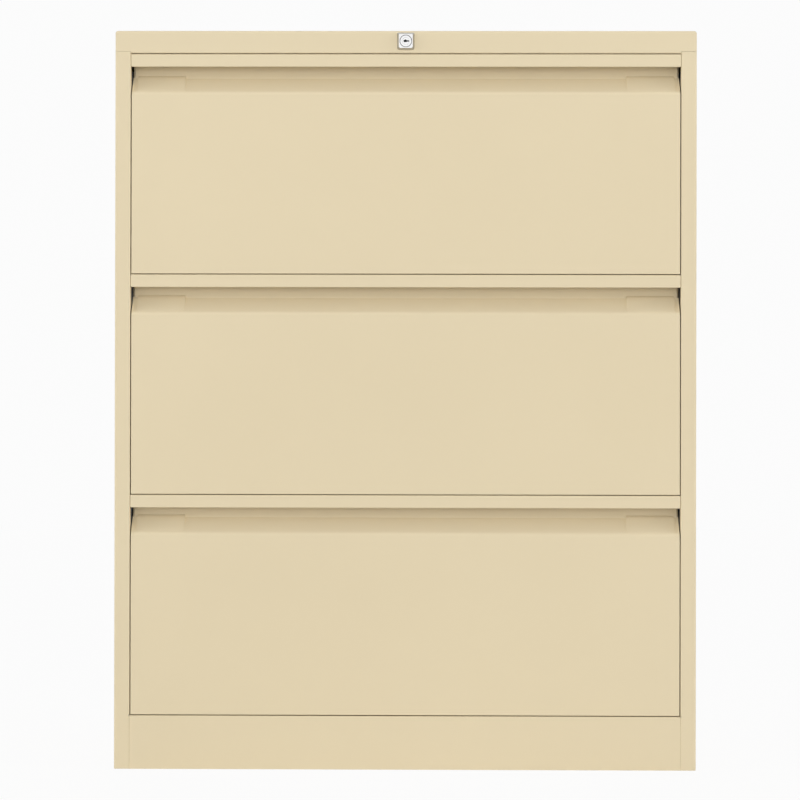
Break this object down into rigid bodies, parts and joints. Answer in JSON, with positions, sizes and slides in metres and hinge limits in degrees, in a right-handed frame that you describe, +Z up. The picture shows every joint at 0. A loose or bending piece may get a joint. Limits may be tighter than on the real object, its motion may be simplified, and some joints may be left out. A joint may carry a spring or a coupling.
{
  "type": "hanging file cabinet",
  "caption": "Steel side filing cabinet for hanging files, with wide drawers on telescopic slides, full-width recessed pulls and a lid lock that bars the drawers.",
  "frame": {"origin": "on the floor, at the middle of the bounding box's underside", "axes": "+X to the right seen from the front, drawer fronts face -Y, +Z up"},
  "size_m": [0.8, 0.4762, 1.016],
  "materials": {
    "cream_paint": "cream powder coat, satin with a fine even grain",
    "zinc_steel": "bright zinc plate, dull silver",
    "lock_chrome": "polished nickel-chrome plate",
    "black_rubber": "matt black moulded rubber"
  },
  "bodies": {
    "carcass": {"top_panel": "cream_paint", "left_side_panel": "cream_paint", "right_side_panel": "cream_paint", "back_panel": "cream_paint", "base_panel": "cream_paint", "plinth_front": "cream_paint", "left_posts": "zinc_steel", "right_posts": "zinc_steel", "lock_rail": "cream_paint", "lock_housing": "lock_chrome", "lock_nut": "zinc_steel", "bar_guides": "zinc_steel", "crank_pivot": "zinc_steel", "leveller_brackets": "zinc_steel", "leveller_nuts": "zinc_steel", "slide_screws": "zinc_steel", "back_rivets": "zinc_steel", "drawer_buffers": "black_rubber", "drawer_1_slide_outers": "zinc_steel", "drawer_2_slide_outers": "zinc_steel", "drawer_3_slide_outers": "zinc_steel"},
    "drawer_1": {"drawer_1_front": "cream_paint", "drawer_1_liner": "cream_paint", "drawer_1_tray": "cream_paint", "drawer_1_file_rails": "zinc_steel", "drawer_1_handle_plates": "cream_paint", "drawer_1_catch": "zinc_steel", "drawer_1_slide_inners": "zinc_steel"},
    "drawer_1_middles": {"drawer_1_slide_middles": "zinc_steel"},
    "drawer_1_outer_cage_set": {"drawer_1_outer_cages": "zinc_steel"},
    "drawer_1_inner_cage_set": {"drawer_1_inner_cages": "zinc_steel"},
    "drawer_2": {"drawer_2_front": "cream_paint", "drawer_2_liner": "cream_paint", "drawer_2_tray": "cream_paint", "drawer_2_file_rails": "zinc_steel", "drawer_2_handle_plates": "cream_paint", "drawer_2_catch": "zinc_steel", "drawer_2_slide_inners": "zinc_steel"},
    "drawer_2_middles": {"drawer_2_slide_middles": "zinc_steel"},
    "drawer_2_outer_cage_set": {"drawer_2_outer_cages": "zinc_steel"},
    "drawer_2_inner_cage_set": {"drawer_2_inner_cages": "zinc_steel"},
    "drawer_3": {"drawer_3_front": "cream_paint", "drawer_3_liner": "cream_paint", "drawer_3_tray": "cream_paint", "drawer_3_file_rails": "zinc_steel", "drawer_3_handle_plates": "cream_paint", "drawer_3_catch": "zinc_steel", "drawer_3_slide_inners": "zinc_steel"},
    "drawer_3_middles": {"drawer_3_slide_middles": "zinc_steel"},
    "drawer_3_outer_cage_set": {"drawer_3_outer_cages": "zinc_steel"},
    "drawer_3_inner_cage_set": {"drawer_3_inner_cages": "zinc_steel"},
    "lock_cylinder": {"lock_plug": "lock_chrome", "lock_cam": "zinc_steel"},
    "transfer_bar": {"transfer_bar": "zinc_steel"},
    "bell_crank": {"bell_crank": "zinc_steel"},
    "lock_bar": {"lock_bar": "zinc_steel"},
    "front_left_leveller": {"front_left_leveller": "zinc_steel"},
    "front_right_leveller": {"front_right_leveller": "zinc_steel"},
    "rear_left_leveller": {"rear_left_leveller": "zinc_steel"},
    "rear_right_leveller": {"rear_right_leveller": "zinc_steel"}
  },
  "joints": [
    {"name": "drawer_1_slide", "type": "slide", "parent": "carcass", "child": "drawer_1", "axis": [0, -1, 0], "range_m": [0, 0.4]},
    {"name": "drawer_1_middles_slide", "type": "slide", "parent": "carcass", "child": "drawer_1_middles", "axis": [0, -1, 0], "range_m": [0, 0.2]},
    {"name": "drawer_1_outer_cage_set_slide", "type": "slide", "parent": "carcass", "child": "drawer_1_outer_cage_set", "axis": [0, -1, 0], "range_m": [0, 0.1]},
    {"name": "drawer_1_inner_cage_set_slide", "type": "slide", "parent": "carcass", "child": "drawer_1_inner_cage_set", "axis": [0, -1, 0], "range_m": [0, 0.3]},
    {"name": "drawer_2_slide", "type": "slide", "parent": "carcass", "child": "drawer_2", "axis": [0, -1, 0], "range_m": [0, 0.4]},
    {"name": "drawer_2_middles_slide", "type": "slide", "parent": "carcass", "child": "drawer_2_middles", "axis": [0, -1, 0], "range_m": [0, 0.2]},
    {"name": "drawer_2_outer_cage_set_slide", "type": "slide", "parent": "carcass", "child": "drawer_2_outer_cage_set", "axis": [0, -1, 0], "range_m": [0, 0.1]},
    {"name": "drawer_2_inner_cage_set_slide", "type": "slide", "parent": "carcass", "child": "drawer_2_inner_cage_set", "axis": [0, -1, 0], "range_m": [0, 0.3]},
    {"name": "drawer_3_slide", "type": "slide", "parent": "carcass", "child": "drawer_3", "axis": [0, -1, 0], "range_m": [0, 0.4]},
    {"name": "drawer_3_middles_slide", "type": "slide", "parent": "carcass", "child": "drawer_3_middles", "axis": [0, -1, 0], "range_m": [0, 0.2]},
    {"name": "drawer_3_outer_cage_set_slide", "type": "slide", "parent": "carcass", "child": "drawer_3_outer_cage_set", "axis": [0, -1, 0], "range_m": [0, 0.1]},
    {"name": "drawer_3_inner_cage_set_slide", "type": "slide", "parent": "carcass", "child": "drawer_3_inner_cage_set", "axis": [0, -1, 0], "range_m": [0, 0.3]},
    {"name": "lock_turn", "type": "hinge", "parent": "carcass", "child": "lock_cylinder", "pos_m": [0, -0.2331, 1.0014], "axis": [0, 1, 0], "range_deg": [0, 90]},
    {"name": "transfer_bar_slide", "type": "slide", "parent": "carcass", "child": "transfer_bar", "axis": [1, 0, 0], "range_m": [0, 0.01273]},
    {"name": "bell_crank_turn", "type": "hinge", "parent": "carcass", "child": "bell_crank", "pos_m": [-0.37, -0.1956, 0.984], "axis": [0, 1, 0], "range_deg": [0, 41.4]},
    {"name": "lock_bar_lift", "type": "slide", "parent": "carcass", "child": "lock_bar", "axis": [0, 0, 1], "range_m": [0, 0.01273]},
    {"name": "front_left_leveller_height", "type": "slide", "parent": "carcass", "child": "front_left_leveller", "axis": [0, 0, -1], "range_m": [0, 0.015]},
    {"name": "front_right_leveller_height", "type": "slide", "parent": "carcass", "child": "front_right_leveller", "axis": [0, 0, -1], "range_m": [0, 0.015]},
    {"name": "rear_left_leveller_height", "type": "slide", "parent": "carcass", "child": "rear_left_leveller", "axis": [0, 0, -1], "range_m": [0, 0.015]},
    {"name": "rear_right_leveller_height", "type": "slide", "parent": "carcass", "child": "rear_right_leveller", "axis": [0, 0, -1], "range_m": [0, 0.015]}
  ],
  "couplings": [
    {"joint": "drawer_1_middles_slide", "follows": "drawer_1_slide", "ratio": 0.5},
    {"joint": "drawer_1_outer_cage_set_slide", "follows": "drawer_1_slide", "ratio": 0.25},
    {"joint": "drawer_1_inner_cage_set_slide", "follows": "drawer_1_slide", "ratio": 0.75},
    {"joint": "drawer_2_middles_slide", "follows": "drawer_2_slide", "ratio": 0.5},
    {"joint": "drawer_2_outer_cage_set_slide", "follows": "drawer_2_slide", "ratio": 0.25},
    {"joint": "drawer_2_inner_cage_set_slide", "follows": "drawer_2_slide", "ratio": 0.75},
    {"joint": "drawer_3_middles_slide", "follows": "drawer_3_slide", "ratio": 0.5},
    {"joint": "drawer_3_outer_cage_set_slide", "follows": "drawer_3_slide", "ratio": 0.25},
    {"joint": "drawer_3_inner_cage_set_slide", "follows": "drawer_3_slide", "ratio": 0.75},
    {"joint": "lock_turn", "follows": "lock_bar_lift", "rad_per_m": 123.39},
    {"joint": "transfer_bar_slide", "follows": "lock_bar_lift", "ratio": 1},
    {"joint": "bell_crank_turn", "follows": "lock_bar_lift", "rad_per_m": 56.75}
  ]
}
